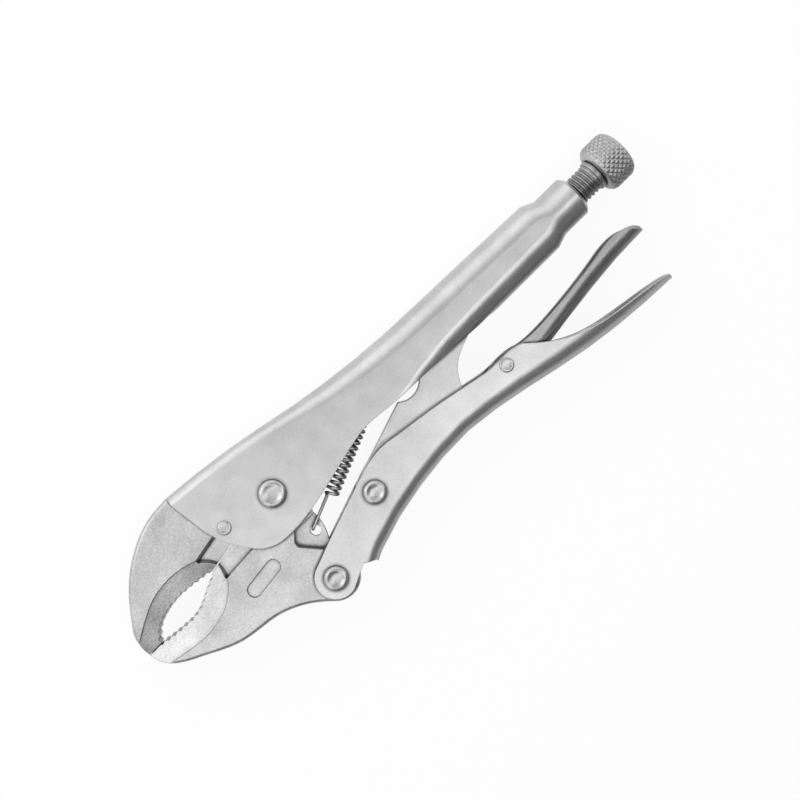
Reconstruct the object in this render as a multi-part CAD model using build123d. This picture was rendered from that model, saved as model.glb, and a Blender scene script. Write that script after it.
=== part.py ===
from build123d import *
import math
import os

os.makedirs("parts", exist_ok=True)

# Locking pliers lying on one side. X runs from the main pivot towards the knob,
# Y towards the fixed handle, Z up from the bench. All sizes are millimetres.

# Pivots, measured from the main pivot in the plane of the tool
main_pivot = (0.0, 0.0)
handle_pivot = (-5.3, -37.3)
link_pivot = (26.0, -25.2)
lever_pivot = (91.0, -26.1)
upper_jaw_rivet_place = (-20.5, 3.3)
link_contact = (94.0, 0.4)

# Thicknesses across the tool
jaw_thickness = 11.0
link_thickness = 6.4
ear_thickness = 3.0
upper_sheet = 2.4
lower_sheet = 2.2
lever_sheet = 1.6
station_pitch = 14.0

# Clearances
side_play = 0.1
pin_play = 0.05
press_play = 0.02
parting_gap = 0.35
boss_play = 0.4
tang_play = 0.8
lever_play = 0.2
screw_play = 0.05
screw_side_play = 0.15
knob_play = 0.1
link_play = 0.5
nose_room = 3.5
hook_play = 0.2

# Rivets, by radius
main_shank = 4.0
main_head = 5.0
handle_shank = 3.5
handle_head = 4.5
link_shank = 3.2
link_head = 4.3
lever_shank = 2.0
lever_head = 2.6
jaw_rivet_shank = 2.0
jaw_rivet_head = 2.5
head_height = 1.6
low_head_height = 0.4
head_chamfer = 0.6

# Jaws
mouth_root = 33.0
mouth_heel = -4.7
bite_line = -10.2
nose_length = 39.0
main_boss = 14.5
handle_boss = 8.9
tooth_pitch = 2.6
tooth_height = 0.8
pad_step = 0.4
pad_depth = 2.2
cutter_floor_depth = 2.4
cutter_depth = 3.2
mouth_centre = (-42.0, -6.5)
mouth_rim = 10.1
mouth_rim_slope = 0.8
back_rounding = 1.4
hook_hole = 2.0
hook_hole_place = (0.9, -20.7)
ear_room = 5.5
ear_corner = 2.5
forging_mark_place = (-23.7, -19.5)
forging_mark_length = 16.0
forging_mark_width = 5.5
forging_mark_tilt = 7.0
forging_mark_depth = 0.4

# Fixed handle
shoulder = -28.1
shoulder_gap = 0.1
shoulder_top = 25.2
tang_end = -6.0
tang_end_top = 22.5
tube_end = 135.0
tube_top = 10.4
tube_bottom = -9.9
tube_roll = 7.8
neck_start = 140.0
neck_end = 152.3
neck_diameter = 16.4
neck_chamfer = 1.2
slot_end = 99.0
seam_start = 107.0
seam_width = 0.8
tongue_place = 60.0
tongue_root = 11.4
tongue_width = 3.0
tongue_depth = 9.0
tongue_window = 7.0

# Moving handle and its lever
channel_top = -8.0
handle_ear = 7.7
web_start = 9.4
tail_end = 156.5
tail_corner = 5.0
tail_tip = -44.4
lever_start = 77.5
lever_flare = 120.0
lever_end = 161.0
lever_tail_half = 6.3
lever_corner = 5.0
lever_tip = -25.3

# Toggle link
link_hub = 6.8
link_nose_radius = 6.5

# Screw and knob
collar_rim = 0.55
collar_length = 1.8
knob_start = 163.2
knob_end = 175.2
knob_diameter = 19.2
knob_face = 13.0
knob_shoulder = 3.2
knob_shank = 8.0
knob_shank_depth = 9.0
tip_chamfer = 1.5

# Return spring
wire = 1.2
wire_sides = 6
coil_diameter = 6.0
coil_pitch = 2.2
coil_turns = 12
coil_start = 14.5
hook_bend = 1.2
hook_reach = 2.2

# Heights and widths worked out from the sizes above
jaw_half = jaw_thickness / 2
gap_half = jaw_half + side_play
upper_half = gap_half + upper_sheet
lower_half = gap_half + lower_sheet
head_top = upper_half + head_height
rest_height = max(knob_diameter / 2, head_top)
ear_top = hook_hole_place[1] + ear_room
lever_half = gap_half - lever_play
screw_diameter = 2 * (gap_half - screw_side_play)
coil_radius = (coil_diameter - wire) / 2


def slab(face, half):
    """Plate with the given side profile, centred on the tool's middle plane."""
    return extrude(face, half, both=True)


def pin_hole(place, radius):
    """Round hole across the whole tool."""
    return Pos(place[0], place[1]) * Cylinder(radius, 4 * rest_height)


def on_circle(centre, radius, degrees):
    """Point of a circle round a pivot."""
    angle = math.radians(degrees)
    return (centre[0] + radius * math.cos(angle), centre[1] + radius * math.sin(angle))


def arc_about(centre, radius, start, end):
    """Arc round a pivot between two angles in degrees."""
    points = [on_circle(centre, radius, angle) for angle in (start, (start + end) / 2, end)]
    return ThreePointArc(*points)


def both_faces(cut):
    """A cut on the upper face together with its copy on the lower face."""
    return cut + mirror(cut, Plane.XY)


def face_edges(plate, line):
    """The two edges of a jaw's faces that follow one line of its outline."""
    middle = line @ 0.5
    return [
        edge
        for edge in plate.edges()
        if abs(abs(edge.center().Z) - jaw_half) < 0.01 and (edge @ 0.5 - middle).length < 2 * jaw_half
        and abs(edge.length - line.length) < 0.01
    ]


# Pressed sheet
def channel_section(x, half, top, bottom, top_radius, bottom_radius):
    """Rounded box section of pressed sheet, standing across the tool at x."""
    across = Plane(origin=(x, 0, 0), x_dir=(0, 1, 0), z_dir=(1, 0, 0))
    slant = 1 - math.sqrt(0.5)
    a = half - top_radius
    b = half - bottom_radius
    high = top - top_radius
    low = bottom + bottom_radius
    t = top_radius * slant
    w = bottom_radius * slant
    edges = [
        Line((top, -a), (top, a)),
        ThreePointArc((top, a), (top - t, half - t), (high, half)),
        Line((high, half), (low, half)),
        ThreePointArc((low, half), (bottom + w, half - w), (bottom, b)),
        Line((bottom, b), (bottom, -b)),
        ThreePointArc((bottom, -b), (bottom + w, w - half), (low, -half)),
        Line((low, -half), (high, -half)),
        ThreePointArc((high, -half), (top - t, t - half), (top, -a)),
    ]
    return across * make_face(edges)


def round_section(x, radius):
    """Circle across the tool at x, in the same eight pieces as a channel section."""
    across = Plane(origin=(x, 0, 0), x_dir=(0, 1, 0), z_dir=(1, 0, 0))
    narrow = 8
    starts = [side + turn for side in (0, 90, 180, 270) for turn in (-narrow, narrow)]
    ends = starts[1:] + [360 - narrow]
    return across * make_face([arc_about((0, 0), radius, a, b) for a, b in zip(starts, ends)])


def value_at(points, x):
    """Value at x of the smooth line through some points, with no overshoot between them."""
    steps = [(b[1] - a[1]) / (b[0] - a[0]) for a, b in zip(points, points[1:])]
    slopes = [steps[0]]
    for before, after in zip(steps, steps[1:]):
        slopes.append(2 * before * after / (before + after) if before * after > 0 else 0.0)
    slopes.append(steps[-1])
    index = max(i for i in range(len(steps)) if i == 0 or points[i][0] <= x)
    run = points[index + 1][0] - points[index][0]
    t = (x - points[index][0]) / run
    rise = points[index + 1][1] - points[index][1]
    bend = t * t * (3 - 2 * t) * rise
    bend += t * (1 - t) * run * ((1 - t) * slopes[index] - t * slopes[index + 1])
    return points[index][1] + bend


def pressed_channel(start, end, sheet, guides):
    """Hollow section of sheet whose half width, top, bottom and two radii follow guide points."""
    count = math.ceil((end - start) / station_pitch)
    outer = []
    inner = []
    for index in range(count + 1):
        x = start + (end - start) * index / count
        half, top, bottom, high, low = [value_at(guide, x) for guide in guides]
        outer.append(channel_section(x, half, top, bottom, high, low))
        inner.append(channel_section(x, half - sheet, top - sheet, bottom + sheet, high - sheet, low - sheet))
    return loft(outer, ruled=True) - loft(inner, ruled=True)


def rounded_plan(start, end, half, corner):
    """Block whose plan, seen along Y, has rounded corners at its far end."""
    plan = Pos((start + end) / 2, 0) * RectangleRounded(end - start, 2 * half, corner)
    return extrude(Plane.XZ * plan, 4 * tail_end, both=True)


# Rivets
def rivet(place, shank, head, seat, top):
    """Rivet with the same formed head on both cheeks, from its seat to its flat top."""
    edge = min(head_chamfer, (top - seat) / 2)
    outline = Polyline(
        (0, -top),
        (head - edge, -top),
        (head, edge - top),
        (head, -seat),
        (shank, -seat),
        (shank, seat),
        (head, seat),
        (head, top - edge),
        (head - edge, top),
        (0, top),
        close=True,
    )
    return Pos(place[0], place[1]) * revolve(Plane.XZ * make_face(outline), Axis.Z)


# Jaws
def nose(share, y):
    """Point on a jaw, by its share of the way from the mouth's root to the tip."""
    return (-mouth_root - share * nose_length, y)


def toothed(line, root_side):
    """Saw-toothed edge whose crests lie on a smooth line and whose roots lie to one side."""
    count = round(line.length / tooth_pitch)
    points = []
    for index in range(count):
        along = line % (index / count)
        root = Vector(-along.Y, along.X) * root_side * tooth_height
        points.append(line @ (index / count) + root)
        points.append(line @ ((index + 0.5) / count))
    points.append(line @ 1)
    return Polyline(*points)


def sloping_cut(levels, far):
    """Cut in both faces of a jaw that passes through some lines, each at its own depth."""
    faces = []
    for line, depth in levels:
        start = line @ 0
        end = line @ 1
        sides = Polyline(end, (end.X, end.Y + far), (start.X, start.Y + far), start)
        faces.append(Pos(0, 0, jaw_half - depth) * make_face(line + sides))
    return both_faces(loft(faces, ruled=True))


def mouth_rims():
    """The sloping round walls on both faces where the mouth's pads end at the cutter."""
    foot = mouth_rim + mouth_rim_slope * (cutter_depth - cutter_floor_depth)
    top = foot - mouth_rim_slope * 2 * cutter_depth
    return both_faces(Pos(*mouth_centre, jaw_half) * Cone(foot, top, 2 * cutter_depth))


def upper_jaw():
    """Forged fixed jaw with a toothed mouth, a cutter and a tang between the cheeks."""
    back = Spline(
        (shoulder, shoulder_top),
        nose(0.18, 23.8),
        nose(0.436, 19.5),
        nose(0.692, 12.0),
        nose(0.949, -0.2),
        nose(1.0, -7.0),
        tangents=((-1, -0.03), (-0.1, -1)),
    )
    crest = Spline(
        nose(0.835, -9.2),
        nose(0.74, -5.9),
        nose(0.62, -4.2),
        nose(0.46, -3.2),
        nose(0.27, -3.6),
        nose(0.05, mouth_heel),
    )
    teeth = toothed(crest, 1)
    tip = Polyline(back @ 1, nose(1.0, bite_line), nose(0.85, bite_line), teeth @ 0)
    clearance = main_boss + boss_play
    pivot_arc = arc_about(main_pivot, clearance, 184, math.degrees(math.acos(tang_end / clearance)))
    tang = Polyline(
        pivot_arc @ 1,
        (tang_end, tang_end_top - upper_sheet - tang_play),
        (shoulder, shoulder_top - upper_sheet - tang_play),
        (shoulder, shoulder_top),
    )
    outline = back + tip + teeth + Line(teeth @ 1, pivot_arc @ 0) + pivot_arc + tang
    jaw = slab(make_face(outline), jaw_half)
    jaw = fillet(face_edges(jaw, back), back_rounding)
    pad_outline = Spline(
        nose(1.05, -6.4),
        nose(0.88, -2.3),
        nose(0.76, 0.3),
        nose(0.63, 2.6),
        nose(0.5, 3.8),
        nose(0.35, 4.2),
        nose(0.21, 3.5),
        nose(0.08, 2.0),
        nose(-0.05, 0.2),
    )
    pad_root = Spline(
        nose(1.05, -11.2),
        nose(0.88, -10.2),
        nose(0.76, -6.8),
        nose(0.63, -4.7),
        nose(0.5, -3.7),
        nose(0.35, -3.7),
        nose(0.21, -4.2),
        nose(0.08, -4.9),
        nose(-0.05, -5.6),
    )
    jaw -= sloping_cut([(pad_outline, 0), (pad_outline, pad_step), (pad_root, pad_depth)], -2 * jaw_thickness)
    cutter_top = Line((-36.5, 2.1), (-18.0, 5.7))
    cutter_floor = Line((-36.5, 0.9), (-18.0, 4.5))
    cutter_root = Line((-34.6, -4.8), (-18.0, -2.0))
    cutter = [(cutter_top, 0), (cutter_floor, cutter_floor_depth), (cutter_root, cutter_depth)]
    jaw -= sloping_cut(cutter, -2 * jaw_thickness) - mouth_rims()
    return jaw - pin_hole(upper_jaw_rivet_place, jaw_rivet_shank + press_play)


def lower_jaw():
    """Forged moving jaw with pivot bosses, a toothed mouth, a cutter and a spring ear."""
    crest = Spline(
        nose(0.846, -10.3),
        nose(0.74, -11.0),
        nose(0.6, -11.5),
        nose(0.48, -11.6),
        nose(0.366, -10.6),
        nose(0.27, -8.8),
        nose(0.18, -7.1),
        nose(0.05, mouth_heel - parting_gap),
    )
    teeth = toothed(crest, -1)
    bite = bite_line - parting_gap
    tip = Polyline(nose(1.0, bite), nose(0.87, bite), teeth @ 0)
    main_arc = arc_about(main_pivot, main_boss, 185.2, -72)
    ear_side = ThreePointArc((4.8, -16.4), (4.4, -20.4), (2.3, -25.8))
    boss_arc = arc_about(handle_pivot, handle_boss, 40, -135)
    belly = Spline(
        boss_arc @ 1,
        (-20.0, -36.8),
        (-30.0, -32.6),
        nose(0.31, -30.2),
        nose(0.692, -23.4),
        nose(0.872, -19.3),
        tangents=((-1, 1), (-0.8, 0.6)),
    )
    chin = TangentArc(belly @ 1, tip @ 0, tangent=belly % 1)
    outline = tip + teeth + Line(teeth @ 1, main_arc @ 0) + main_arc
    outline += Line(main_arc @ 1, ear_side @ 0) + ear_side + Line(ear_side @ 1, boss_arc @ 0)
    outline += boss_arc + belly + chin
    jaw = slab(make_face(outline), jaw_half)
    jaw = fillet(face_edges(jaw, belly), back_rounding)
    pad_outline = Spline(
        nose(1.05, -16.4),
        nose(0.82, -18.3),
        nose(0.67, -19.3),
        nose(0.53, -19.9),
        nose(0.36, -19.3),
        nose(0.215, -17.6),
        nose(0.1, -14.7),
        nose(0.005, -11.1),
        nose(-0.028, -8.4),
    )
    pad_root = Spline(
        nose(1.05, -10.6),
        nose(0.82, -10.8),
        nose(0.67, -11.6),
        nose(0.53, -11.9),
        nose(0.36, -10.4),
        nose(0.215, -7.6),
        nose(0.1, -5.8),
        nose(0.005, -4.8),
        nose(-0.028, -4.5),
    )
    jaw -= sloping_cut([(pad_outline, 0), (pad_outline, pad_step), (pad_root, pad_depth)], 2 * jaw_thickness)
    cutter_base = Line((-33.4, -10.4), (-18.0, -9.3))
    cutter_floor = Line((-33.4, -9.9), (-18.0, -8.8))
    cutter_root = Line((-34.2, -4.3), (-18.0, -1.6))
    cutter = [(cutter_base, 0), (cutter_floor, cutter_floor_depth), (cutter_root, cutter_depth)]
    jaw -= sloping_cut(cutter, 2 * jaw_thickness) - mouth_rims()
    recess = make_face(
        Polyline(
            (2 * main_boss, ear_top),
            (-4.5, ear_top),
            (-8.3, -19.3),
            (-1.5, -27.3),
            (2 * main_boss, -27.3),
            close=True,
        )
    )
    recess = fillet(recess.vertices().sort_by(Axis.X)[0], ear_corner)
    jaw -= both_faces(Pos(0, 0, ear_thickness / 2) * extrude(recess, jaw_thickness))
    mark = Rot(0, 0, forging_mark_tilt) * SlotOverall(forging_mark_length, forging_mark_width)
    mark = Pos(*forging_mark_place, jaw_half - forging_mark_depth) * mark
    jaw -= extrude(mark, jaw_thickness)
    jaw -= pin_hole(main_pivot, main_shank + pin_play)
    jaw -= pin_hole(handle_pivot, handle_shank + pin_play)
    return jaw - pin_hole(hook_hole_place, hook_hole)


# Handles, link and lever
def upper_handle():
    """Fixed handle: open channel at the jaw, rolled tube behind, round neck for the screw."""
    front = shoulder + shoulder_gap
    side = [(front, upper_half), (tube_end, upper_half)]
    back = [
        (front, shoulder_top),
        (-10.0, 23.5),
        (10.0, 20.3),
        (30.0, 16.5),
        (50.0, 13.8),
        (70.0, 12.3),
        (90.0, 11.7),
        (110.0, 11.2),
        (tube_end, tube_top),
    ]
    floor = [(front, -40.0), (30.0, -19.0), (90.0, tube_bottom), (tube_end, tube_bottom)]
    back_roll = [(front, 3.6), (10.0, 4.2), (50.0, 7.0), (90.0, tube_roll), (tube_end, tube_roll)]
    floor_roll = [(front, 6.0), (70.0, 6.6), (tube_end, tube_roll)]
    guides = (side, back, floor, back_roll, floor_roll)
    cheek_edge = Spline(
        (-26.3, 7.0),
        (-23.0, -2.0),
        (-20.0, -7.0),
        (-16.5, -11.2),
        (-12.5, -13.6),
        (-5.0, -14.7),
        (10.0, -12.9),
        (30.0, -8.1),
        (41.0, -6.4),
        (48.0, -6.9),
        (56.0, -7.6),
        (65.0, -7.9),
        (84.0, -8.7),
        (slot_end, -9.7),
    )
    beyond = neck_end + rest_height
    rest = Polyline(
        cheek_edge @ 1,
        (seam_start, 2 * tube_bottom),
        (beyond, 2 * tube_bottom),
        (beyond, 2 * shoulder_top),
        (front, 2 * shoulder_top),
        (front, 21.0),
        cheek_edge @ 0,
    )
    handle = pressed_channel(front, tube_end, upper_sheet, guides)
    handle &= slab(make_face(cheek_edge + rest), 2 * upper_half)
    radius = neck_diameter / 2
    tube = channel_section(tube_end, *[guide[-1][1] for guide in guides])
    handle += loft([tube, round_section(neck_start, radius)], ruled=True)
    neck = Polyline(
        (neck_start, 0),
        (neck_start, radius),
        (neck_end - neck_chamfer, radius),
        (neck_end, radius - neck_chamfer),
        (neck_end, 0),
        close=True,
    )
    handle += revolve(make_face(neck), Axis.X)
    bore = Cylinder(screw_diameter / 2 + screw_play, 2 * (neck_end - tube_end))
    handle -= Pos((tube_end + neck_end) / 2, 0) * Rot(0, 90, 0) * bore
    slot_half = link_thickness / 2 + link_play
    slot = Polyline(
        (tongue_place, -slot_half),
        (slot_end, -slot_half),
        (seam_start, -seam_width / 2),
        (tube_end, -seam_width / 2),
        (tube_end, seam_width / 2),
        (seam_start, seam_width / 2),
        (slot_end, slot_half),
        (tongue_place, slot_half),
        close=True,
    )
    handle -= extrude(Plane.XZ.offset(3) * make_face(slot), 2 * rest_height)
    window_middle = tongue_place - (upper_sheet + tongue_window) / 2
    handle -= Pos(window_middle, tongue_root, 0) * Box(tongue_window, tongue_depth, tongue_width)
    tongue = Box(upper_sheet, tongue_depth, tongue_width)
    handle += Pos(tongue_place, tongue_root - tongue_depth / 2, 0) * tongue
    handle -= pin_hole(main_pivot, main_shank + press_play)
    return handle - pin_hole(upper_jaw_rivet_place, jaw_rivet_shank + press_play)


def lower_handle():
    """Moving handle: channel with ears round the jaw's boss, running out into a gutter."""
    front = handle_pivot[0] - handle_ear
    side = [(front, lower_half), (tail_end, lower_half)]
    mouth = [(front, channel_top), (tail_end, channel_top)]
    web = [
        (front, -57.0),
        (web_start, -43.8),
        (30.0, -37.4),
        (50.0, -34.3),
        (62.0, -33.7),
        (80.0, -35.6),
        (100.0, -39.8),
        (120.0, -43.6),
        (140.0, -45.8),
        (tail_end, -46.5),
    ]
    mouth_roll = [(front, 4.0), (tail_end, 4.0)]
    web_roll = [(front, 5.0), (62.0, 5.6), (100.0, 6.4), (140.0, 7.4), (tail_end, 7.4)]
    ear = arc_about(handle_pivot, handle_ear, 105, 285)
    below = Polyline(
        ear @ 1,
        (5.2, -40.4),
        (web_start, -43.0),
        (web_start, -70.0),
        (tail_end + 1, -70.0),
        (tail_end + 1, tail_tip),
        (tail_end, tail_tip),
    )
    gutter_rim = Spline(
        below @ 1,
        (150.0, -43.0),
        (130.0, -39.9),
        (119.0, -37.0),
        (108.0, -30.9),
        (100.5, -24.6),
    )
    cheek_rim = Spline(
        gutter_rim @ 1,
        (95.0, -23.2),
        (86.0, -23.1),
        (80.0, -22.2),
        (72.0, -20.6),
        (60.0, -18.4),
        (46.0, -16.5),
        (38.0, -15.6),
        (33.0, -16.2),
        (19.0, -20.5),
        (5.0, -25.3),
        ear @ 0,
    )
    profile = make_face(ear + below + gutter_rim + cheek_rim)
    guides = (side, mouth, web, mouth_roll, web_roll)
    handle = pressed_channel(front, tail_end, lower_sheet, guides) & slab(profile, 2 * lower_half)
    handle &= rounded_plan(front - 2 * tail_corner, tail_end, lower_half, tail_corner)
    handle -= pin_hole(handle_pivot, handle_shank + press_play)
    handle -= pin_hole(link_pivot, link_shank + press_play)
    return handle - pin_hole(lever_pivot, lever_shank + press_play)


def toggle_link():
    """Link with a hub that fills the channel and a thin blade that ends in a round nose."""
    nose_centre = (link_contact[0] - link_nose_radius, link_contact[1])
    hub = arc_about(link_pivot, link_hub, -80, -250)
    ridge = Line(hub @ 1, (54.3, -8.6))
    notch = ThreePointArc(ridge @ 1, (60.3, -10.7), (66.0, -7.6))
    nose_arc = arc_about(nose_centre, link_nose_radius, 110, -30)
    heel = ThreePointArc(nose_arc @ 1, (92.4, -7.0), (89.5, -8.9))
    hollow = Spline(heel @ 1, (83.0, -11.5), (79.8, -13.4), (76.4, -17.2), (74.2, -22.0), (73.4, -24.5))
    outline = hub + ridge + notch + Line(notch @ 1, nose_arc @ 0) + nose_arc + heel + hollow
    outline += Line(hollow @ 1, hub @ 0)
    link = slab(make_face(outline), link_thickness / 2)
    link += Pos(*link_pivot) * Cylinder(link_hub, 2 * lever_half)
    return link - pin_hole(link_pivot, link_shank + pin_play)


def release_lever():
    """Pressed lever: a narrow channel on its rivet, widening to a gutter for the fingers."""
    side = [
        (lever_start, lever_half),
        (lever_flare, lever_half),
        (140.0, lever_tail_half),
        (lever_end, lever_tail_half),
    ]
    mouth = [(lever_start, channel_top), (lever_end, channel_top)]
    web = [
        (lever_start, -29.8),
        (92.0, -32.2),
        (104.0, -32.4),
        (112.0, -31.4),
        (lever_flare, -30.3),
        (132.0, -28.7),
        (146.0, -27.2),
        (lever_end, -26.6),
    ]
    mouth_roll = [(lever_start, 3.0), (lever_end, 3.0)]
    web_roll = [(lever_start, 4.4), (104.0, 4.7), (lever_flare, 5.0), (132.0, 5.4), (lever_end, 4.9)]
    guides = (side, mouth, web, mouth_roll, web_roll)
    rim = Spline(
        (lever_start, -26.0),
        (84.0, -24.2),
        (91.0, -22.9),
        (101.0, -24.4),
        (110.0, -24.8),
        (120.0, -24.1),
        (140.0, -21.6),
        (150.0, -20.3),
        (157.0, -21.7),
        (lever_end, lever_tip),
    )
    below = Polyline(
        rim @ 1,
        (lever_end + 1, lever_tip),
        (lever_end + 1, -50.0),
        (lever_start, -50.0),
        rim @ 0,
    )
    lever = pressed_channel(lever_start, lever_end, lever_sheet, guides)
    lever &= slab(make_face(rim + below), 2 * lower_half)
    lever &= rounded_plan(lever_start - 2 * lever_corner, lever_end, lever_tail_half, lever_corner)
    return lever - pin_hole(lever_pivot, lever_shank + pin_play)


# Screw and knob
def adjusting_screw():
    """Plain rod of the thread's outer diameter, with a collar and a shank for the knob."""
    radius = screw_diameter / 2
    tip = link_contact[0] + nose_room
    collar_end = knob_start - knob_play
    end = knob_start + knob_shank_depth
    outline = Polyline(
        (tip, 0),
        (tip, radius - tip_chamfer),
        (tip + tip_chamfer, radius),
        (collar_end - collar_length, radius),
        (collar_end - collar_length, radius + collar_rim),
        (collar_end, radius + collar_rim),
        (collar_end, knob_shank / 2),
        (end, knob_shank / 2),
        (end, 0),
        close=True,
    )
    return revolve(make_face(outline), Axis.X)


def adjusting_knob():
    """Barrel knob with rounded shoulders and a blind bore for the screw's shank."""
    radius = knob_diameter / 2
    face = knob_face / 2
    rise = radius - face
    bore = knob_shank / 2 + pin_play
    bore_end = knob_start + knob_shank_depth + knob_play
    slant = math.sqrt(0.5)
    front = ThreePointArc(
        (knob_start, face),
        (knob_start + knob_shoulder * (1 - slant), face + rise * slant),
        (knob_start + knob_shoulder, radius),
    )
    back = ThreePointArc(
        (knob_end - knob_shoulder, radius),
        (knob_end - knob_shoulder * (1 - slant), face + rise * slant),
        (knob_end, face),
    )
    inside = Polyline(
        back @ 1,
        (knob_end, 0),
        (bore_end, 0),
        (bore_end, bore),
        (knob_start, bore),
        front @ 0,
    )
    return revolve(make_face(front + Line(front @ 1, back @ 0) + back + inside), Axis.X)


# Return spring
def biarc(start, start_way, end, end_way):
    """Two arcs that leave one point and reach another along given directions."""
    span = end - start
    ways = start_way + end_way
    reach = span.dot(ways)
    bend = 2 * (1 - start_way.dot(end_way))
    share = (math.sqrt(reach * reach + bend * span.dot(span)) - reach) / bend
    middle = (start + start_way * share + end - end_way * share) * 0.5
    first = TangentArc(start, middle, tangent=start_way)
    return [first, TangentArc(middle, end, tangent=first % 1)]


def return_spring():
    """Extension spring from the ear's hole to the tongue, as one unbroken wire."""
    hole = Vector(*hook_hole_place)
    tongue_back = Vector(tongue_place + upper_sheet / 2, tongue_root - 0.75 * tongue_depth)
    axis = (tongue_back - hole).normalized()
    side = Vector(axis.Y, -axis.X, 0)
    up = Vector(0, 0, 1)
    behind_tongue = tongue_back.X + hook_play + wire / 2 - hole.X
    far_leg = (behind_tongue - side.X * hook_bend) / axis.X

    def place(along, across, height):
        return hole + axis * along + side * across + up * height

    def coil(turn):
        angle = 2 * math.pi * turn
        along = coil_start + coil_pitch * turn
        return place(along, coil_radius * math.sin(angle), coil_radius * math.cos(angle))

    def coil_way(turn):
        angle = 2 * math.pi * turn
        round_way = side * math.cos(angle) - up * math.sin(angle)
        return (axis * (coil_pitch / (2 * math.pi)) + round_way * coil_radius).normalized()

    coil_end = coil_start + coil_pitch * coil_turns
    near_run = place(coil_start - hook_bend, -hook_bend, coil_radius)
    far_run = place(coil_end + hook_bend, hook_bend, coil_radius)
    near_turn = place(hook_bend, -hook_bend, coil_radius)
    far_turn = place(far_leg - hook_bend, hook_bend, coil_radius)
    near_drop = place(0, -hook_bend, coil_radius - hook_bend)
    far_drop = place(far_leg, hook_bend, coil_radius - hook_bend)
    path = [Line(place(0, -hook_bend, -hook_reach), near_drop)]
    path += [TangentArc(near_drop, near_turn, tangent=up)]
    path += [Line(near_turn, near_run)]
    path += biarc(near_run, axis, coil(0), coil_way(0))
    for half_turn in range(2 * coil_turns):
        a = half_turn / 2
        b = (half_turn + 1) / 2
        path += biarc(coil(a), coil_way(a), coil(b), coil_way(b))
    path += biarc(coil(coil_turns), coil_way(coil_turns), far_run, axis)
    path += [Line(far_run, far_turn)]
    path += [TangentArc(far_turn, far_drop, tangent=axis)]
    path += [Line(far_drop, place(far_leg, hook_bend, -hook_reach))]
    print("spring, least gap to itself in mm:", round(least_gap(path), 2))
    section = Plane(origin=path[0] @ 0, z_dir=path[0] % 0) * RegularPolygon(wire / 2, wire_sides)
    return sweep(section, Wire([edge.edge() for edge in path]))


def least_gap(path):
    """Least gap of a wound wire to itself, measured between points further than a half turn apart."""
    points = [edge @ (step / 4) for edge in path for step in range(4)]
    half_turn = math.pi * coil_radius
    run = 0.0
    runs = [0.0]
    for a, b in zip(points, points[1:]):
        run += (b - a).length
        runs.append(run)
    return min(
        (points[i] - points[j]).length - wire
        for i in range(len(points))
        for j in range(i)
        if runs[i] - runs[j] > half_turn
    )


parts = {
    "upper_jaw": upper_jaw(),
    "lower_jaw": lower_jaw(),
    "upper_handle": upper_handle(),
    "lower_handle": lower_handle(),
    "toggle_link": toggle_link(),
    "release_lever": release_lever(),
    "adjusting_screw": adjusting_screw(),
    "adjusting_knob": adjusting_knob(),
    "return_spring": return_spring(),
    "main_rivet": rivet(main_pivot, main_shank, main_head, upper_half, head_top),
    "handle_rivet": rivet(handle_pivot, handle_shank, handle_head, lower_half, head_top),
    "link_rivet": rivet(link_pivot, link_shank, link_head, lower_half, head_top),
    "lever_rivet": rivet(lever_pivot, lever_shank, lever_head, lower_half, lower_half + low_head_height),
    "upper_jaw_rivet": rivet(
        upper_jaw_rivet_place, jaw_rivet_shank, jaw_rivet_head, upper_half, upper_half + low_head_height
    ),
}

for name, shape in parts.items():
    export_step(Pos(0, 0, rest_height) * shape, f"parts/{name}.step")
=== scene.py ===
# %% [markdown]
# # Locking pliers: the looks
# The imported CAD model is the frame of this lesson. Its jaws, handles, link and lever already have
# the right shape, so they stay and get finishes. The screw, knob, spring and rivets have fine
# detail that a CAD model leaves plain, so new meshes take their places here.

# %% Load the CAD frame
import math
import bmesh
import bpy
from mathutils import Matrix, Vector


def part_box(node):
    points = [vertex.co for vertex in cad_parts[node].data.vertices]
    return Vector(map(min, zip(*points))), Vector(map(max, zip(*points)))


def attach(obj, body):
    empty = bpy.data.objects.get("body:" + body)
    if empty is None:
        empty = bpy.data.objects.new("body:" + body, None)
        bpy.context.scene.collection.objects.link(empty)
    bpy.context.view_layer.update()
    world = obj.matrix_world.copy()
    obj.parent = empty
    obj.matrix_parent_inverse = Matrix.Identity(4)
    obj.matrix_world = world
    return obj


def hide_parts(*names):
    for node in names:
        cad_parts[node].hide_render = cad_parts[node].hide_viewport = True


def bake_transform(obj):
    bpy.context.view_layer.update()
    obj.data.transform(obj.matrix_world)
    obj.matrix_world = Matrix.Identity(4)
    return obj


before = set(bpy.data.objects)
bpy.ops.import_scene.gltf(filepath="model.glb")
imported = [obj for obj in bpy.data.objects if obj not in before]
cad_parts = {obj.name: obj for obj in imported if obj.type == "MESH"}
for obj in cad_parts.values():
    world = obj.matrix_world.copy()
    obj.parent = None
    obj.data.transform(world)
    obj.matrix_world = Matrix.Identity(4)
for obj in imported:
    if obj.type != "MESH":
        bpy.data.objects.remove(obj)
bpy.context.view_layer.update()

scene = bpy.context.scene
mm = 0.001
print("CAD nodes:", sorted(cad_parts))

# %% [markdown]
# ## Camera
# The pliers lie flat and the photograph looks almost straight down on them, from less than half
# a metre away, with the picture turned so that the knob points to the upper right. A camera is
# easy to aim with Track To, but here the turn matters as much as the aim, so its three axes are
# worked out as vectors and written into its matrix.

# %% Camera
picture_turn = math.radians(44.72)
lean_along = math.radians(-0.67)
lean_across = math.radians(3.16)
camera_distance = 400 * mm
look_at = Vector((55.29, -8.24, 17.1)) * mm
focal_pixels = 1129.2
picture_pixels = 800

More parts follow.
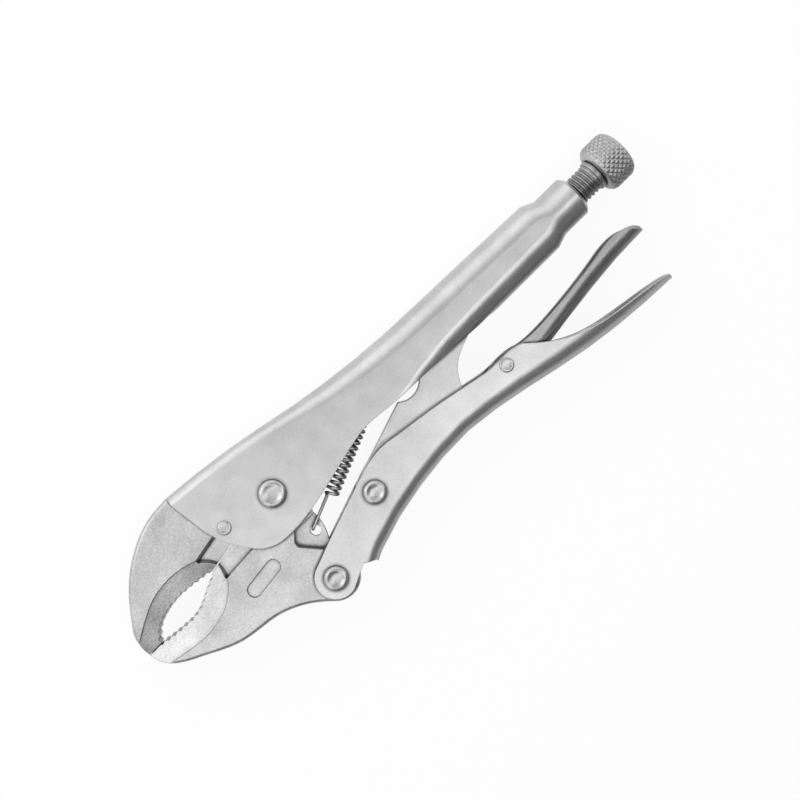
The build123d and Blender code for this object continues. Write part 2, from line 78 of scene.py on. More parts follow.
away = Vector((math.tan(lean_along), math.tan(lean_across), 1)).normalized()
right = Vector((math.cos(picture_turn), -math.sin(picture_turn), 0))
right = (right - away * right.dot(away)).normalized()
camera_axes = Matrix((right, away.cross(right), away)).transposed().to_4x4()
camera_data = bpy.data.cameras.new("camera")
camera_data.sensor_width = 36
camera_data.lens = camera_data.sensor_width * focal_pixels / picture_pixels
camera = bpy.data.objects.new("camera", camera_data)
camera.matrix_world = Matrix.Translation(look_at + away * camera_distance) @ camera_axes
scene.collection.objects.link(camera)
scene.camera = camera
scene.view_settings.view_transform = "Standard"
print("lens in mm:", round(camera_data.lens, 1))

# %% [markdown]
# ## Two small helpers
# Every finish and every Geometry Nodes tree below is built from nodes, so one function adds a
# node with its settings and links. Colours are written as the hex values that a picture editor
# shows, and another function turns them into the linear values that Blender mixes.


# %% Helpers for nodes and colours
def add(tree, kind, inputs=None, **settings):
    """Adds a node, sets its settings, and gives its inputs values or links."""
    node = tree.nodes.new(kind)
    for name, value in settings.items():
        setattr(node, name, value)
    for socket, value in (inputs or {}).items():
        if isinstance(value, bpy.types.NodeSocket):
            tree.links.new(value, node.inputs[socket])
        else:
            node.inputs[socket].default_value = value
    return node


def srgb(code):
    """Linear colour of an sRGB hex code."""
    levels = [int(code[i : i + 2], 16) / 255 for i in (0, 2, 4)]
    linear = [c / 12.92 if c <= 0.04045 else ((c + 0.055) / 1.055) ** 2.4 for c in levels]
    return (*linear, 1.0)


def empty_material(name):
    """New material with an empty node tree."""
    material = bpy.data.materials.new(name)
    material.use_nodes = True
    material.node_tree.nodes.clear()
    return material


print("helpers ready")

# %% [markdown]
# ## Floor and world
# A tool on a white page needs a white floor that still takes a faint shadow. A floor that is only
# diffuse turns grey between the lamps, and one that only glows loses the shadow. So the floor
# mixes the two for the camera and for reflections, and stays plain diffuse for the rest.


# %% Floor and world
def background_rays(tree):
    """Socket that is 1 for camera, glossy and transmission rays."""
    path = add(tree, "ShaderNodeLightPath")
    camera_ray, glossy_ray, transmission_ray = [
        path.outputs[kind] for kind in ("Is Camera Ray", "Is Glossy Ray", "Is Transmission Ray")
    ]
    seen = add(tree, "ShaderNodeMath", {0: camera_ray, 1: glossy_ray}, operation="MAXIMUM")
    seen = add(tree, "ShaderNodeMath", {0: seen.outputs[0], 1: transmission_ray}, operation="MAXIMUM")
    return seen.outputs[0]


def sheet_mesh(name, corners, material):
    """Flat four-cornered sheet of the studio."""
    mesh = bpy.data.meshes.new(name)
    mesh.from_pydata([Vector(c) * mm for c in corners], [], [range(len(corners))])
    sheet = bpy.data.objects.new(name, mesh)
    mesh.materials.append(material)
    scene.collection.objects.link(sheet)
    return sheet


glow_share = 0.92
floor_paper = empty_material("white_paper_floor")
tree = floor_paper.node_tree
share = add(tree, "ShaderNodeMath", {0: background_rays(tree), 1: glow_share}, operation="MULTIPLY")
paper = add(tree, "ShaderNodeBsdfDiffuse", {"Color": srgb("F4F4F4")})
glow = add(tree, "ShaderNodeEmission", {"Color": srgb("FFFFFF"), "Strength": 1.0})
mixed = add(tree, "ShaderNodeMixShader",
            {0: share.outputs[0], 1: paper.outputs[0], 2: glow.outputs[0]})
add(tree, "ShaderNodeOutputMaterial", {"Surface": mixed.outputs[0]})
reach = 3000
floor_corners = [(-reach, -reach, 0), (reach, -reach, 0), (reach, reach, 0), (-reach, reach, 0)]
sheet_mesh("floor", floor_corners, floor_paper)

world = bpy.data.worlds.new("white_studio")
scene.world = world
world.use_nodes = True
tree = world.node_tree
tree.nodes.clear()
room_light = 0.5
level = add(tree, "ShaderNodeMapRange",
            {"Value": background_rays(tree), "To Min": room_light, "To Max": 1.0})
dome = add(tree, "ShaderNodeBackground", {"Color": srgb("FFFFFF"), "Strength": level.outputs["Result"]})
add(tree, "ShaderNodeOutputWorld", {"Surface": dome.outputs[0]})
print("floor is", 2 * reach * mm, "m wide")

# %% [markdown]
# ## Lamps and cards
# Plated metal shows little colour of its own: what the eye reads as its shape is the row of light
# and dark bands that it mirrors. Two long softboxes, behind the tool and above it, run along the
# handles and give them their two bright bands, and two small ones light the jaw and the bend of
# the moving handle. Grey cards, seen only in reflections, give the darker bands between. A lamp
# in Cycles adds its light to whatever lies behind it, so each softbox has a dark housing.


# %% Softboxes and cards
housing_gap = 1
housing_shade = 0.1


def softbox(name, middle, width, height, radiance):
    """Area lamp aimed at the tool, set by the light that leaves each point of it."""
    lamp = bpy.data.lights.new(name, "AREA")
    lamp.shape = "RECTANGLE"
    lamp.size = width * mm
    lamp.size_y = height * mm
    lamp.energy = radiance * math.pi * lamp.size * lamp.size_y
    holder = bpy.data.objects.new(name, lamp)
    place = Vector(middle) * mm
    back = (place - look_at).normalized()
    along = Vector((1, 0, 0))
    along = (along - back * along.dot(back)).normalized()
    axes = Matrix((along, back.cross(along), back)).transposed().to_4x4()
    holder.matrix_world = Matrix.Translation(place) @ axes
    scene.collection.objects.link(holder)
    spread = [(-1, -1), (1, -1), (1, 1), (-1, 1)]
    corners = [Vector((width / 2 * a, height / 2 * b, housing_gap)) for a, b in spread]
    card(name + "_housing", [holder.matrix_world @ (c * mm) / mm for c in corners], housing_shade)


def card(name, corners, shade):
    """Sheet of grey card that only reflections see."""
    material = empty_material(name)
    tree = material.node_tree
    grey = add(tree, "ShaderNodeEmission", {"Color": srgb("FFFFFF"), "Strength": shade})
    add(tree, "ShaderNodeOutputMaterial", {"Surface": grey.outputs[0]})
    sheet = sheet_mesh(name, corners, material)
    sheet.visible_camera = False
    sheet.visible_diffuse = False
    sheet.visible_shadow = False
    sheet.visible_transmission = False


softbox("back_softbox", (55, 540, 370), 1300, 520, 1.36)
softbox("strip_softbox", (60, -152, 600), 1300, 110, 2.0)
softbox("jaw_softbox", (-230, 270, 560), 300, 170, 2.8)
softbox("bend_softbox", (86, -106, 590), 150, 90, 3.4)
card("floor_card", [(-700, -430, 0.5), (900, -430, 0.5), (900, -2, 0.5), (-700, -2, 0.5)], 0.62)
card("knuckle_card", [(-700, -430, 0), (900, -430, 0), (900, -430, 800), (-700, -430, 800)], 0.2)
card("ceiling_card", [(-20, -70, 700), (800, -70, 700), (800, 240, 660), (-20, 240, 660)], 0.62)
card("camera_front", [(20, -62, 590), (140, -62, 590), (140, 55, 590), (20, 55, 590)], 0.06)
card("rivet_card", [(-25, -130, 585), (40, -130, 585), (40, -55, 585), (-25, -55, 585)], 0.1)

# %% [markdown]
# ## Finishes
# Every piece is steel, nearly all of it nickel-plated, and what differs is how its surface was
# made: rolled sheet that was pressed, forged jaws that were blasted clean, turned screw parts and
# drawn spring wire. So one function makes them all: a slow cloud of colour, a fine grain in
# colour, roughness and bump, edges painted brighter as wear and as a painted highlight, and
# painted shade in corners and between parts, found with the Ambient Occlusion node. The Bevel
# node rounds the edges of the CAD meshes for the light, as tumbling before plating does. The
# lever's darker copy of the sheet's finish is painted shade.


# %% Plated steel
cloud_size = 9.0
# Reach of the painted shade in corners and between parts
corner_shade_distance = 1.5
tone_range = {"From Min": 0.7, "From Max": 1.3}
# Ranges of the painted highlight and wear on edges, and of the painted shade in corners
wear_and_highlight_range = {"From Min": 0.99, "From Max": 0.85, "To Max": 0.35}
corner_shade_range = {"From Min": 0.95, "From Max": 0.6, "To Max": 0.9}
grain_range = {"From Min": 0.3, "From Max": 0.7}
rough_spread = 0.05


def plated_steel(name, dark, light, rubbed_and_highlit, painted_corner_shade, rough, grain, relief, edge_radius):
    """Plated steel with grain, relief and rounded edges in millimetres, edges in a colour of wear and
    painted highlight, and corners in a colour of painted shade.
    """
    material = empty_material(name)
    tree = material.node_tree
    place = add(tree, "ShaderNodeTexCoord").outputs["Object"]
    clouds = add(tree, "ShaderNodeTexNoise",
                 {"Vector": place, "Scale": 1 / (cloud_size * mm), "Detail": 3.0}).outputs["Fac"]
    grains = add(tree, "ShaderNodeTexNoise",
                 {"Vector": place, "Scale": 1 / (grain * mm), "Detail": 2.0}).outputs["Fac"]
    tone = add(tree, "ShaderNodeMath", {0: clouds, 1: grains}, operation="ADD")
    tone = add(tree, "ShaderNodeMapRange", {"Value": tone.outputs[0], **tone_range})
    colour = add(tree, "ShaderNodeMix", {0: tone.outputs["Result"], 6: srgb(dark), 7: srgb(light)},
                 data_type="RGBA")
    rounded = add(tree, "ShaderNodeBevel", {"Radius": edge_radius * mm}, samples=6).outputs["Normal"]
    flat = add(tree, "ShaderNodeNewGeometry").outputs["Normal"]
    # Painted highlight and wear: edges that the Bevel node rounds, hollow and convex alike, are painted
    # brighter
    facing = add(tree, "ShaderNodeVectorMath", {0: rounded, 1: flat}, operation="DOT_PRODUCT")
    wear_and_highlight = add(tree, "ShaderNodeMapRange", {"Value": facing.outputs["Value"], **wear_and_highlight_range})
    colour = add(tree, "ShaderNodeMix",
                 {0: wear_and_highlight.outputs["Result"], 6: colour.outputs[2], 7: srgb(rubbed_and_highlit)}, data_type="RGBA")
    # Painted shade: the colour darkens where the Ambient Occlusion node finds surfaces close by, in corners
    # and between parts
    corners = add(tree, "ShaderNodeAmbientOcclusion", {"Distance": corner_shade_distance * mm}, samples=8)
    corner_shade = add(tree, "ShaderNodeMapRange", {"Value": corners.outputs["AO"], **corner_shade_range})
    colour = add(tree, "ShaderNodeMix",
                 {0: corner_shade.outputs["Result"], 6: colour.outputs[2], 7: srgb(painted_corner_shade)}, data_type="RGBA")
    sheen = add(tree, "ShaderNodeMapRange",
                {"Value": grains, "To Min": rough - rough_spread, "To Max": rough + rough_spread,
                 **grain_range})
    bump = add(tree, "ShaderNodeBump", {"Height": grains, "Distance": relief * mm, "Normal": rounded})
    steel = add(tree, "ShaderNodeBsdfPrincipled",
                {"Base Color": colour.outputs[2], "Metallic": 1.0, "Roughness": sheen.outputs["Result"],
                 "Normal": bump.outputs["Normal"]})
    add(tree, "ShaderNodeOutputMaterial", {"Surface": steel.outputs[0]})
    return material


# Satin nickel on pressed sheet: smooth, with a faint grain that is drawn larger than real to show
pressed_nickel = plated_steel(
    "satin_nickel_on_pressed_sheet", dark="BABABA", light="CECECE", rubbed_and_highlit="DADADA", painted_corner_shade="383838",
    rough=0.33, grain=0.55, relief=0.03, edge_radius=0.5,
)
# Nickel on a blasted forging: duller than the sheet, with a coarser grain
forged_nickel = plated_steel(
    "nickel_on_blasted_forging", dark="A8A8A8", light="CECECE", rubbed_and_highlit="DADADA", painted_corner_shade="383838",
    rough=0.36, grain=0.8, relief=0.07, edge_radius=0.45,
)
# Nickel on a headed rivet: smoother than the sheet, its edges rubbed by the forming tool and given a
# painted highlight
rivet_nickel = plated_steel(
    "nickel_on_formed_rivet", dark="B0B0B0", light="C2C2C2", rubbed_and_highlit="DCDCDC", painted_corner_shade="303030",
    rough=0.3, grain=0.6, relief=0.02, edge_radius=0.2,
)
# Nickel on turned steel, with painted shade in the grooves of the knurl
turned_nickel = plated_steel(
    "nickel_on_turned_steel", dark="A2A2A2", light="C0C0C0", rubbed_and_highlit="D8D8D8", painted_corner_shade="666666",
    rough=0.36, grain=0.5, relief=0.02, edge_radius=0.15,
)
# Nickel on the rolled thread, in darker colours than on the knob
thread_nickel = plated_steel(
    "oiled_nickel_on_rolled_thread", dark="929292", light="AEAEAE", rubbed_and_highlit="C6C6C6", painted_corner_shade="5C5C5C",
    rough=0.36, grain=0.5, relief=0.02, edge_radius=0.15,
)
# Drawn spring wire: an even grey under a thin skin of oil
spring_wire = plated_steel(
    "oiled_spring_wire", dark="B4B4B4", light="C8C8C8", rubbed_and_highlit="D0D0D0", painted_corner_shade="808080",
    rough=0.42, grain=0.5, relief=0.01, edge_radius=0.1,
)
# Darker nickel on the release lever: painted shade, as the lever lies in shadow
shaded_lever_nickel = plated_steel(
    "dull_nickel_on_pressed_lever", dark="949494", light="A6A6A6", rubbed_and_highlit="C8C8C8", painted_corner_shade="303030",
    rough=0.33, grain=0.55, relief=0.03, edge_radius=0.4,
)
finishes = {
    "upper_handle": pressed_nickel,
    "lower_handle": pressed_nickel,
    "release_lever": shaded_lever_nickel,
    "toggle_link": pressed_nickel,
    "upper_jaw": forged_nickel,
    "lower_jaw": forged_nickel,
}
for node, finish in finishes.items():
    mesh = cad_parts[node].data
    mesh.materials.clear()
    mesh.materials.append(finish)
print("finishes:", sorted({finish.name for finish in finishes.values()}))

# %% [markdown]
# ## Turned blanks
# Screw and knob leave the lathe as plain turned blanks. A blank is a line of points, each with a
# place along the axis and a radius, spun round the X axis. Long straight lines are divided, so
# that the Geometry Nodes trees that follow have points to move.


# %% Turned blanks
def turned(name, outline, pitch, sides):
    """Mesh object of an outline spun round the X axis, with rings no further apart than pitch."""
    rings = [outline[0]]
    for (x0, r0), (x1, r1) in zip(outline, outline[1:]):
        count = max(1, math.ceil(math.hypot(x1 - x0, r1 - r0) / pitch))
        for i in range(1, count + 1):
            rings.append((x0 + (x1 - x0) * i / count, r0 + (r1 - r0) * i / count))
    shape = bmesh.new()
    loops = []
    for x, r in rings:
        turns = [2 * math.pi * i / sides for i in range(sides if r > 0 else 1)]
        spots = [Vector((x, r * math.cos(a), r * math.sin(a))) for a in turns]
        loops.append([shape.verts.new(spot * mm) for spot in spots])
    for near, far in zip(loops, loops[1:]):
        for i in range(sides):
            j = (i + 1) % sides
            corners = [near[i % len(near)], near[j % len(near)], far[j % len(far)], far[i % len(far)]]
            shape.faces.new(list(dict.fromkeys(corners)))
    bmesh.ops.recalc_face_normals(shape, faces=shape.faces)
    mesh = bpy.data.meshes.new(name)
    shape.to_mesh(mesh)
    shape.free()
    blank = bpy.data.objects.new(name, mesh)
    scene.collection.objects.link(blank)
    return blank


def quarter(x, r, dx, dr, steps):
    """Points of a rounded corner from (x, r) that ends dx further along and dr further out."""
    turns = [math.pi / 2 * i / steps for i in range(steps + 1)]
    return [(x + dx * (1 - math.cos(a)), r + dr * math.sin(a)) for a in turns]


print("blanks are turned with", turned.__name__)

# %% [markdown]
# ## One way to use a tree
# Each tree becomes a modifier on its blank. Its named sizes are set before Blender first works it
# out. The result is then copied into a plain mesh and the modifier goes, so what is left is an
# ordinary mesh that can be posed and exported.


# %% Trees and plain meshes
def new_tree(name, sizes):
    """Geometry Nodes tree with named sizes, and the outputs of its input node."""
    tree = bpy.data.node_groups.new(name, "GeometryNodeTree")
    tree.is_modifier = True
    tree.interface.new_socket("Geometry", in_out="INPUT", socket_type="NodeSocketGeometry")
    for size in sizes:
        tree.interface.new_socket(size, in_out="INPUT", socket_type="NodeSocketFloat")
    tree.interface.new_socket("Material", in_out="INPUT", socket_type="NodeSocketMaterial")
    tree.interface.new_socket("Geometry", in_out="OUTPUT", socket_type="NodeSocketGeometry")
    return tree, add(tree, "NodeGroupInput").outputs


def end_tree(tree, given, geometry):
    """Makes instances real and sets the material, as the last two steps of a tree."""
    real = add(tree, "GeometryNodeRealizeInstances", {"Geometry": geometry})
    dressed = add(tree, "GeometryNodeSetMaterial",
                  {"Geometry": real.outputs[0], "Material": given["Material"]})
    add(tree, "NodeGroupOutput", {"Geometry": dressed.outputs[0]})


def made_plain(piece, tree, sizes, material):
    """Runs a tree on a piece with the given sizes and leaves the result as a plain mesh."""
    modifier = piece.modifiers.new(tree.name, "NODES")
    modifier.node_group = tree
    for item in tree.interface.items_tree:
        if item.in_out == "INPUT" and item.name in sizes:
            modifier[item.identifier] = sizes[item.name]
        if item.in_out == "INPUT" and item.name == "Material":
            modifier[item.identifier] = material
    bpy.context.view_layer.update()
    seen = piece.evaluated_get(bpy.context.evaluated_depsgraph_get())
    mesh = bpy.data.meshes.new_from_object(seen)
    name = piece.name
    bpy.data.objects.remove(piece)
    mesh.name = name
    made = bpy.data.objects.new(name, mesh)
    scene.collection.objects.link(made)
    print(name, "has", len(mesh.polygons), "faces")
    return made


def smoothed(piece, degrees):
    """Smooth shading with sharp edges above an angle."""
    piece.data.shade_smooth()
    piece.data.set_sharp_from_angle(angle=math.radians(degrees))
    return piece


print("trees end in Realize Instances and Set Material")

# %% [markdown]
# ## Adjusting screw
# The rod has a rolled thread from its tip to the collar under the knob. A thread could be cut with
# a swept tool, but moving the rod's own points inwards along a helix gives one closed mesh. The
# depth follows a wave along X minus a turn round the axis: that difference is what winds it up.

# %% Thread tree
half_wave = 0.5
crest_end = 0.08
root_start = 0.4
tree, given = new_tree("rolled_thread", ["Pitch", "Depth", "Start", "End"])
place = add(tree, "GeometryNodeInputPosition").outputs[0]
parts = add(tree, "ShaderNodeSeparateXYZ", {0: place}).outputs
turn = add(tree, "ShaderNodeMath", {0: parts["Z"], 1: parts["Y"]}, operation="ARCTAN2")
turn = add(tree, "ShaderNodeMath", {0: turn.outputs[0], 1: 2 * math.pi}, operation="DIVIDE")
wind = add(tree, "ShaderNodeMath", {0: parts["X"], 1: given["Pitch"]}, operation="DIVIDE")
wind = add(tree, "ShaderNodeMath", {0: wind.outputs[0], 1: turn.outputs[0]}, operation="SUBTRACT")
wave = add(tree, "ShaderNodeMath", {0: wind.outputs[0], 1: half_wave}, operation="PINGPONG")
groove = add(tree, "ShaderNodeMapRange",
             {"Value": wave.outputs[0], "From Min": crest_end, "From Max": root_start})
after = add(tree, "ShaderNodeMapRange", {"Value": parts["X"], "From Min": given["Start"]})
run_in = add(tree, "ShaderNodeMath", {0: given["Start"], 1: given["Pitch"]}, operation="ADD")
tree.links.new(run_in.outputs[0], after.inputs["From Max"])
before = add(tree, "ShaderNodeMapRange",
             {"Value": parts["X"], "From Max": given["End"], "To Min": 1.0, "To Max": 0.0})
run_out = add(tree, "ShaderNodeMath", {0: given["End"], 1: given["Pitch"]}, operation="SUBTRACT")
tree.links.new(run_out.outputs[0], before.inputs["From Min"])
zone = add(tree, "ShaderNodeMath", {0: after.outputs[0], 1: before.outputs[0]}, operation="MULTIPLY")
sink = add(tree, "ShaderNodeMath", {0: groove.outputs[0], 1: zone.outputs[0]}, operation="MULTIPLY")
sink = add(tree, "ShaderNodeMath", {0: sink.outputs[0], 1: given["Depth"]}, operation="MULTIPLY")
spoke = add(tree, "ShaderNodeVectorMath", {0: place, 1: (0.0, -1.0, -1.0)}, operation="MULTIPLY")
spoke = add(tree, "ShaderNodeVectorMath", {0: spoke.outputs[0]}, operation="NORMALIZE")
shift = add(tree, "ShaderNodeVectorMath", {0: spoke.outputs[0], "Scale": sink.outputs[0]},
            operation="SCALE")
cut = add(tree, "GeometryNodeSetPosition", {"Geometry": given["Geometry"], "Offset": shift.outputs[0]})
end_tree(tree, given, cut.outputs[0])
thread_tree = tree
print("thread tree has", len(tree.nodes), "nodes")

# %% Screw
screw_low, screw_high = [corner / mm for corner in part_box("adjusting_screw")]
knob_low, knob_high = [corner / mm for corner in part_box("adjusting_knob")]
axis_height = (knob_low.z + knob_high.z) / 2
knob_play = 0.1
collar_radius = (screw_high.z - screw_low.z) / 2
collar_rim = 0.55
collar_length = 1.8
collar_rounding = 0.4
collar_edge = 0.1
rounding_steps = 6
rod_radius = collar_radius - collar_rim
tip_slope = 1.5
shank_radius = 4.0
thread_pitch = 1.8
thread_depth = 0.65
rings_per_pitch = 10
rod_sides = 40
sharp_screw_angle = 40
collar_end = knob_low.x - knob_play
collar_start = collar_end - collar_length
collar_corner = quarter(
    collar_start, collar_radius - collar_rounding, collar_rounding, collar_rounding, rounding_steps
)
rod_outline = [
    (screw_low.x, 0),
    (screw_low.x, rod_radius - tip_slope),
    (screw_low.x + tip_slope, rod_radius),
    (collar_start, rod_radius),
    *collar_corner,
    (collar_end - collar_edge, collar_radius),
    (collar_end, collar_radius - collar_edge),
    (collar_end, shank_radius),
    (screw_high.x, shank_radius),
    (screw_high.x, 0),
]
screw = turned("screw_with_rolled_thread", rod_outline, thread_pitch / rings_per_pitch, rod_sides)
thread_sizes = {
    "Pitch": thread_pitch * mm,
    "Depth": thread_depth * mm,
    "Start": screw_low.x * mm,
    "End": collar_start * mm,
}
screw = made_plain(screw, thread_tree, thread_sizes, thread_nickel)
screw.data.transform(Matrix.Translation((0, 0, axis_height * mm)))
smoothed(screw, sharp_screw_angle)
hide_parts("adjusting_screw")
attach(screw, "adjusting_screw")

# %% [markdown]
# ## Knob
# The knob's barrel is knurled: two hardened wheels pressed two sets of crossing helical grooves
# into it, and small diamonds are left standing. Each set is a wave that winds one way round the
# barrel. Taking the deeper of the two waves at each point gives the crossing grooves.

# %% Knurl tree
groove_width = 0.4
tree, given = new_tree("diamond_knurl", ["Count", "Lead", "Depth", "Full Radius", "Fade"])
place = add(tree, "GeometryNodeInputPosition").outputs[0]
parts = add(tree, "ShaderNodeSeparateXYZ", {0: place}).outputs
turn = add(tree, "ShaderNodeMath", {0: parts["Z"], 1: parts["Y"]}, operation="ARCTAN2")
turn = add(tree, "ShaderNodeMath", {0: turn.outputs[0], 1: 2 * math.pi}, operation="DIVIDE")
turn = add(tree, "ShaderNodeMath", {0: turn.outputs[0], 1: given["Count"]}, operation="MULTIPLY")
wind = add(tree, "ShaderNodeMath", {0: parts["X"], 1: given["Lead"]}, operation="DIVIDE")
waves = []
for way in ("ADD", "SUBTRACT"):
    helix = add(tree, "ShaderNodeMath", {0: turn.outputs[0], 1: wind.outputs[0]}, operation=way)
    wave = add(tree, "ShaderNodeMath", {0: helix.outputs[0], 1: half_wave}, operation="PINGPONG")
    waves.append(add(tree, "ShaderNodeMapRange",
                     {"Value": wave.outputs[0], "From Max": groove_width, "To Min": 1.0, "To Max": 0.0}))
groove = add(tree, "ShaderNodeMath", {0: waves[0].outputs[0], 1: waves[1].outputs[0]},
             operation="MAXIMUM")
flat = add(tree, "ShaderNodeVectorMath", {0: place, 1: (0.0, 1.0, 1.0)}, operation="MULTIPLY")
radius = add(tree, "ShaderNodeVectorMath", {0: flat.outputs[0]}, operation="LENGTH")
low = add(tree, "ShaderNodeMath", {0: given["Full Radius"], 1: given["Fade"]}, operation="SUBTRACT")
zone = add(tree, "ShaderNodeMapRange",
           {"Value": radius.outputs["Value"], "From Min": low.outputs[0],
            "From Max": given["Full Radius"]})
sink = add(tree, "ShaderNodeMath", {0: groove.outputs[0], 1: zone.outputs[0]}, operation="MULTIPLY")
sink = add(tree, "ShaderNodeMath", {0: sink.outputs[0], 1: given["Depth"]}, operation="MULTIPLY")
outward = add(tree, "ShaderNodeVectorMath", {0: flat.outputs[0]}, operation="NORMALIZE")
back_off = add(tree, "ShaderNodeMath", {0: sink.outputs[0], 1: -1.0}, operation="MULTIPLY")
shift = add(tree, "ShaderNodeVectorMath", {0: outward.outputs[0], "Scale": back_off.outputs[0]},
            operation="SCALE")
cut = add(tree, "GeometryNodeSetPosition", {"Geometry": given["Geometry"], "Offset": shift.outputs[0]})
end_tree(tree, given, cut.outputs[0])
knurl_tree = tree
print("knurl tree has", len(tree.nodes), "nodes")

# %% Knob
knob_radius = (knob_high.z - knob_low.z) / 2
face_radius = 6.5
shoulder = 3.2
shoulder_steps = 14
knob_rings_apart = 0.26
diamonds_round = 26
sides_per_diamond = 8
knurl_depth = 0.5
knurl_margin = 0.2
knurl_fade = 1.2
sharp_knob_angle = 35
bore_radius = 4.05
bore_end = screw_high.x + knob_play
front = quarter(knob_low.x, face_radius, shoulder, knob_radius - face_radius, shoulder_steps)
rear = [(knob_low.x + knob_high.x - x, r) for x, r in reversed(front)]
knob_outline = [(bore_end, 0), (bore_end, bore_radius), (knob_low.x, bore_radius)]
knob_outline += [*front, *rear, (knob_high.x, 0)]
knob = turned("knurled_knob", knob_outline, knob_rings_apart, sides_per_diamond * diamonds_round)
knurl_sizes = {
    "Count": float(diamonds_round),
    "Lead": 2 * math.pi * knob_radius / diamonds_round * mm,
    "Depth": knurl_depth * mm,
    "Full Radius": (knob_radius - knurl_margin) * mm,
    "Fade": knurl_fade * mm,
}
knob = made_plain(knob, knurl_tree, knurl_sizes, turned_nickel)
knob.data.transform(Matrix.Translation((0, 0, axis_height * mm)))
smoothed(knob, sharp_knob_angle)
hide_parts("adjusting_knob")
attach(knob, "adjusting_knob")

# %% [markdown]
# ## Rivets
# Five rivets hold the tool together. Each head was formed by a spinning tool that leaves a soft
# rim round a shallow dish. They differ only in size, so one head is turned and a tree sets a copy
# of it, scaled, on both ends of every shank. The points carry the sizes as attributes.

# %% Rivet tree
head_sink = -0.2
rim_start = 0.3
rim_width = 0.3
head_sides = 48
shank_sides = 32
sharp_head_angle = 50
rim_turns = [math.pi / 2 * i / rounding_steps for i in range(1, rounding_steps + 1)]
rim = [(rim_start + (1 - rim_start) * math.sin(a), 1 - rim_width * (1 - math.cos(a))) for a in rim_turns]
dish = [(0.93, 0.6), (0.8, 0.48), (0.74, 0.3), (0.72, 0)]
head_outline = [(head_sink, 0), (head_sink, 1), (rim_start, 1), *rim, *dish]
head = turned("rivet_head", [(x / mm, r / mm) for x, r in head_outline], 1 / mm, head_sides)
head.data.transform(Matrix.Rotation(-math.pi / 2, 4, "Y"))
smoothed(head, sharp_head_angle)
tree, given = new_tree("formed_rivets", [])
head_info = add(tree, "GeometryNodeObjectInfo", {"Object": head})
size = {key: add(tree, "GeometryNodeInputNamedAttribute", {"Name": key}, data_type="FLOAT").outputs[0]
        for key in ("head_radius", "head_height", "seat", "shank_radius")}
ends = []
for side in (1, -1):
    lift = add(tree, "ShaderNodeMath", {0: size["seat"], 1: float(side)}, operation="MULTIPLY")
    lift = add(tree, "ShaderNodeCombineXYZ", {"Z": lift.outputs[0]})
    moved = add(tree, "GeometryNodeSetPosition",
                {"Geometry": given["Geometry"], "Offset": lift.outputs[0]})
    stretch = add(tree, "ShaderNodeCombineXYZ",
                  {"X": size["head_radius"], "Y": size["head_radius"], "Z": size["head_height"]})
    tip_over = (0.0, 0.0, 0.0) if side == 1 else (math.pi, 0.0, 0.0)
    ends.append(add(tree, "GeometryNodeInstanceOnPoints",
                    {"Points": moved.outputs[0], "Instance": head_info.outputs["Geometry"],
                     "Rotation": tip_over, "Scale": stretch.outputs[0]}))
shank = add(tree, "GeometryNodeMeshCylinder", {"Vertices": shank_sides, "Radius": 1.0, "Depth": 2.0})
girth = add(tree, "ShaderNodeCombineXYZ",
            {"X": size["shank_radius"], "Y": size["shank_radius"], "Z": size["seat"]})
ends.append(add(tree, "GeometryNodeInstanceOnPoints",
                {"Points": given["Geometry"], "Instance": shank.outputs["Mesh"],
                 "Scale": girth.outputs[0]}))
together = add(tree, "GeometryNodeJoinGeometry")
for part in ends:
    tree.links.new(part.outputs[0], together.inputs[0])
end_tree(tree, given, together.outputs[0])
rivet_tree = tree
print("rivet tree has", len(tree.nodes), "nodes")


# %% Rivets
def rivets(name, body, seat, shanks):
    """The rivets of one body, placed and sized from their CAD nodes, with shank radii in mm."""
    mesh = bpy.data.meshes.new(name)
    boxes = [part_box(node) for node in shanks]
    mesh.from_pydata([(low + high) / 2 for low, high in boxes], [], [])
    values = {
        "head_radius": [(high.x - low.x) / 2 for low, high in boxes],
        "head_height": [(high.z - low.z) / 2 - seat * mm for low, high in boxes],
        "seat": [seat * mm for node in shanks],
        "shank_radius": [radius * mm for radius in shanks.values()],
    }
    for key, numbers in values.items():
        mesh.attributes.new(key, "FLOAT", "POINT").data.foreach_set("value", numbers)
    points = bpy.data.objects.new(name, mesh)
    scene.collection.objects.link(points)
    made = made_plain(points, rivet_tree, {}, rivet_nickel)
    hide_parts(*shanks)
    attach(made, body)


upper_cheek = 8.0
lower_cheek = (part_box("lower_handle")[1].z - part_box("lower_handle")[0].z) / 2 / mm
rivets("fixed_handle_rivets", "upper_handle", upper_cheek, {"main_rivet": 4.0, "upper_jaw_rivet": 2.0})
rivets("moving_handle_rivets", "lower_handle", lower_cheek,
       {"handle_rivet": 3.5, "link_rivet": 3.2, "lever_rivet": 2.0})
bpy.data.objects.remove(head)

# %% [markdown]
# ## Return spring
# An extension spring pulls the lower jaw open. It is one wire: a hook through the jaw's ear, open
# coils, and a hook round a tongue inside the fixed handle. Its path is a helix with a straight leg
# at each end, and a tree sweeps a round wire along that path.

# %% Spring tree
tree, given = new_tree("drawn_wire", ["Wire Radius"])
wire_sides = 10
ring = add(tree, "GeometryNodeCurvePrimitiveCircle",
           {"Resolution": wire_sides, "Radius": given["Wire Radius"]})
swept = add(tree, "GeometryNodeCurveToMesh",
            {"Curve": given["Geometry"], "Profile Curve": ring.outputs[0], "Fill Caps": True})
round_wire = add(tree, "GeometryNodeSetShadeSmooth", {"Geometry": swept.outputs[0]})
end_tree(tree, given, round_wire.outputs[0])
wire_tree = tree
print("wire tree has", len(tree.nodes), "nodes")

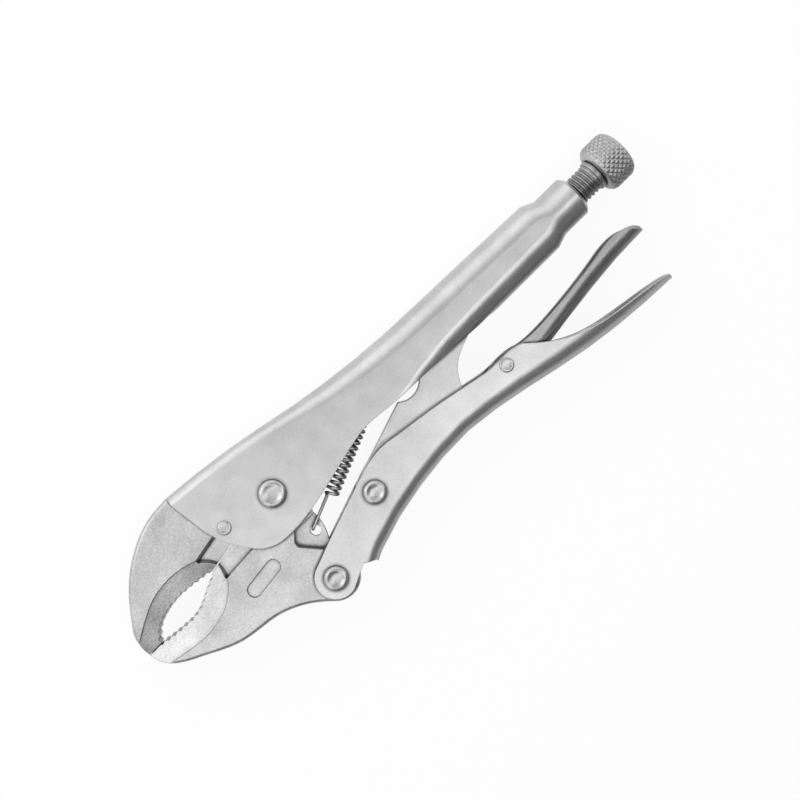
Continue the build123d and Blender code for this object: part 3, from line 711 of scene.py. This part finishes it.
# %% Spring
hole = Vector((0.9, -20.7, axis_height))
tongue = Vector((61.2, 4.65, axis_height))
wire_radius = 0.6
coil_radius = 2.4
coil_pitch = 2.2
coil_turns = 12
coil_start = 14.5
bend = 1.2
reach_through = 2.2
hook_play = 0.2
steps_per_turn = 24
coil_lead = 4
bend_steps = 8
leg_steps = 10
hook_steps = 6
hook_step = 0.5
along = (tongue - hole).normalized()
aside = Vector((along.y, -along.x, 0))
above = Vector((0, 0, 1))
coil_end = coil_start + coil_pitch * coil_turns
far_leg = (tongue.x + hook_play + wire_radius - hole.x - aside.x * bend) / along.x
near_run = coil_start - 2 * bend
far_run = far_leg - coil_end - 2 * bend
bend_turns = [math.pi / 2 * i / bend_steps for i in range(1, bend_steps + 1)]


def on_spring(far, across, height):
    """Point of the spring, measured along its axis from the hook hole."""
    return hole + along * far + aside * across + above * height


def on_coil(step):
    """Point of the helix, counted in steps from the start of its first turn."""
    a = 2 * math.pi * step / steps_per_turn
    far = coil_start + coil_pitch * step / steps_per_turn
    return on_spring(far, coil_radius * math.sin(a), coil_radius * math.cos(a))


wire_points = [on_spring(0, -bend, i * hook_step - reach_through) for i in range(hook_steps + 1)]
for a in bend_turns:
    wire_points.append(on_spring(bend - bend * math.cos(a), -bend, coil_radius - bend + bend * math.sin(a)))
for i in range(1, leg_steps + 1):
    wire_points.append(on_spring(bend + near_run * i / leg_steps, -bend, coil_radius))
wire_points += [on_coil(i) for i in range(-coil_lead, steps_per_turn * coil_turns + coil_lead + 1)]
for i in range(leg_steps + 1):
    wire_points.append(on_spring(coil_end + bend + far_run * i / leg_steps, bend, coil_radius))
for a in bend_turns:
    far = far_leg - bend + bend * math.sin(a)
    wire_points.append(on_spring(far, bend, coil_radius - bend + bend * math.cos(a)))
for i in range(1, hook_steps + 1):
    wire_points.append(on_spring(far_leg, bend, coil_radius - bend - i * hook_step))
path_data = bpy.data.curves.new("return_spring_wire", "CURVE")
path_data.dimensions = "3D"
line = path_data.splines.new("POLY")
line.points.add(len(wire_points) - 1)
for point, spot in zip(line.points, wire_points):
    point.co = (*(spot * mm), 1)
spring = bpy.data.objects.new("return_spring_wire", path_data)
scene.collection.objects.link(spring)
spring = made_plain(spring, wire_tree, {"Wire Radius": wire_radius * mm}, spring_wire)
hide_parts("return_spring")
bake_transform(spring)
